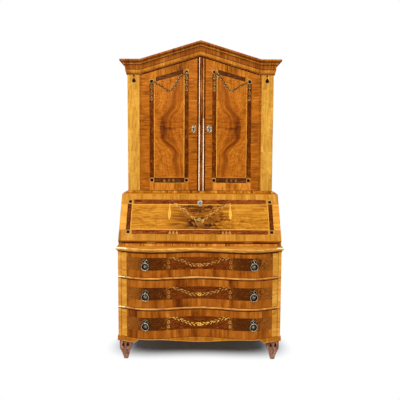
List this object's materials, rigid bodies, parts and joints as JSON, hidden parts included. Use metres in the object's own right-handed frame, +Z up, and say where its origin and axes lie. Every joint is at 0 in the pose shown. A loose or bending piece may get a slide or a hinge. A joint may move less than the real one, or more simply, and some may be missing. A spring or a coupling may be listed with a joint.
{
  "type": "secretaire cabinet",
  "caption": "Slant-front secretaire cabinet: serpentine chest of drawers, a sloping writing fall over a fitted interior, and a two-door cabinet under a low pediment.",
  "frame": {"origin": "the middle of the overall box, on the floor", "axes": "+Z up, the front with its doors, fall and drawers faces -Y, +X to the right as seen from the front"},
  "size_m": [1.14, 0.6865, 2.199],
  "materials": {
    "brass": "rolled, dull",
    "foot_wood": "reddish-brown hardwood, worn",
    "oak": "bare oak",
    "pine": "bare pine",
    "silvered_brass": "cast, silvered and worn",
    "steel": "turned pin",
    "walnut": "figured walnut veneer, French polished",
    "yellow_moulding": "golden-yellow hardwood, polished"
  },
  "bodies": {
    "case": {"cabinet_back": "pine", "cabinet_base": "yellow_moulding", "cabinet_roof": "pine", "cabinet_shelf": "walnut", "cabinet_side_left": "yellow_moulding", "cabinet_side_right": "yellow_moulding", "case_back": "pine", "case_side_left": "walnut", "case_side_right": "walnut", "chest_bottom": "pine", "chest_top": "pine", "cornice": "yellow_moulding", "desk_floor": "walnut", "desk_top": "walnut", "door_left_pivot_lower": "steel", "door_left_pivot_upper": "steel", "door_right_pivot_lower": "steel", "door_right_pivot_upper": "steel", "dust_board_lower": "walnut", "dust_board_upper": "walnut", "fall_hinge_left": "brass", "fall_hinge_right": "brass", "foot_front_left": "foot_wood", "foot_front_right": "foot_wood", "foot_rear_left": "foot_wood", "foot_rear_right": "foot_wood", "gallery": "walnut", "plinth": "walnut", "waist_moulding": "yellow_moulding"},
    "fall": {"fall_board": "walnut", "fall_escutcheon": "silvered_brass", "fall_hinge_left_leaf": "brass", "fall_hinge_right_leaf": "brass"},
    "door_left": {"door_left": "walnut", "door_escutcheon_left": "silvered_brass"},
    "door_right": {"door_right": "walnut", "door_astragal": "yellow_moulding", "door_escutcheon_right": "silvered_brass"},
    "loper_left": {"loper_left": "walnut"},
    "loper_right": {"loper_right": "walnut"},
    "small_drawer_left": {"small_drawer_left": "walnut"},
    "small_drawer_right": {"small_drawer_right": "walnut"},
    "bottom_drawer": {"bottom_drawer_front": "walnut", "bottom_drawer_box": "oak", "bottom_drawer_pull_plate_left": "silvered_brass", "bottom_drawer_pull_plate_right": "silvered_brass"},
    "bottom_drawer_ring_left": {"bottom_drawer_ring_left": "silvered_brass"},
    "bottom_drawer_ring_right": {"bottom_drawer_ring_right": "silvered_brass"},
    "middle_drawer": {"middle_drawer_front": "walnut", "middle_drawer_box": "oak", "middle_drawer_pull_plate_left": "silvered_brass", "middle_drawer_pull_plate_right": "silvered_brass"},
    "middle_drawer_ring_left": {"middle_drawer_ring_left": "silvered_brass"},
    "middle_drawer_ring_right": {"middle_drawer_ring_right": "silvered_brass"},
    "top_drawer": {"top_drawer_front": "walnut", "top_drawer_box": "oak", "top_drawer_pull_plate_left": "silvered_brass", "top_drawer_pull_plate_right": "silvered_brass"},
    "top_drawer_ring_left": {"top_drawer_ring_left": "silvered_brass"},
    "top_drawer_ring_right": {"top_drawer_ring_right": "silvered_brass"}
  },
  "joints": [
    {"name": "fall_hinge", "type": "hinge", "parent": "case", "child": "fall", "pos_m": [0, -0.22966, 0.8125], "axis": [1, 0, 0], "range_deg": [0, 125]},
    {"name": "door_left_pivot", "type": "hinge", "parent": "case", "child": "door_left", "pos_m": [-0.4195, 0.06034, 1.145], "axis": [0, 0, -1], "range_deg": [0, 90]},
    {"name": "door_right_pivot", "type": "hinge", "parent": "case", "child": "door_right", "pos_m": [0.4195, 0.06034, 1.145], "axis": [0, 0, 1], "range_deg": [0, 90]},
    {"name": "bottom_drawer_slide", "type": "slide", "parent": "case", "child": "bottom_drawer", "axis": [0, -1, 0], "range_m": [0, 0.38]},
    {"name": "middle_drawer_slide", "type": "slide", "parent": "case", "child": "middle_drawer", "axis": [0, -1, 0], "range_m": [0, 0.38]},
    {"name": "top_drawer_slide", "type": "slide", "parent": "case", "child": "top_drawer", "axis": [0, -1, 0], "range_m": [0, 0.38]},
    {"name": "small_drawer_left_slide", "type": "slide", "parent": "case", "child": "small_drawer_left", "axis": [0, -1, 0], "range_m": [0, 0.18]},
    {"name": "small_drawer_right_slide", "type": "slide", "parent": "case", "child": "small_drawer_right", "axis": [0, -1, 0], "range_m": [0, 0.18]},
    {"name": "loper_left_slide", "type": "slide", "parent": "case", "child": "loper_left", "axis": [0, -1, 0], "range_m": [0, 0.22]},
    {"name": "loper_right_slide", "type": "slide", "parent": "case", "child": "loper_right", "axis": [0, -1, 0], "range_m": [0, 0.22]},
    {"name": "bottom_drawer_ring_left_hinge", "type": "hinge", "parent": "bottom_drawer", "child": "bottom_drawer_ring_left", "pos_m": [-0.36158, -0.33624, 0.28365], "axis": [-0.9924, 0.1234, 0], "range_deg": [0, 85]},
    {"name": "bottom_drawer_ring_right_hinge", "type": "hinge", "parent": "bottom_drawer", "child": "bottom_drawer_ring_right", "pos_m": [0.36158, -0.33624, 0.28365], "axis": [-0.9924, -0.1234, 0], "range_deg": [0, 85]},
    {"name": "middle_drawer_ring_left_hinge", "type": "hinge", "parent": "middle_drawer", "child": "middle_drawer_ring_left", "pos_m": [-0.36158, -0.33624, 0.4849], "axis": [-0.9924, 0.1234, 0], "range_deg": [0, 85]},
    {"name": "middle_drawer_ring_right_hinge", "type": "hinge", "parent": "middle_drawer", "child": "middle_drawer_ring_right", "pos_m": [0.36158, -0.33624, 0.4849], "axis": [-0.9924, -0.1234, 0], "range_deg": [0, 85]},
    {"name": "top_drawer_ring_left_hinge", "type": "hinge", "parent": "top_drawer", "child": "top_drawer_ring_left", "pos_m": [-0.36158, -0.33624, 0.6909], "axis": [-0.9924, 0.1234, 0], "range_deg": [0, 85]},
    {"name": "top_drawer_ring_right_hinge", "type": "hinge", "parent": "top_drawer", "child": "top_drawer_ring_right", "pos_m": [0.36158, -0.33624, 0.6909], "axis": [-0.9924, -0.1234, 0], "range_deg": [0, 85]}
  ]
}
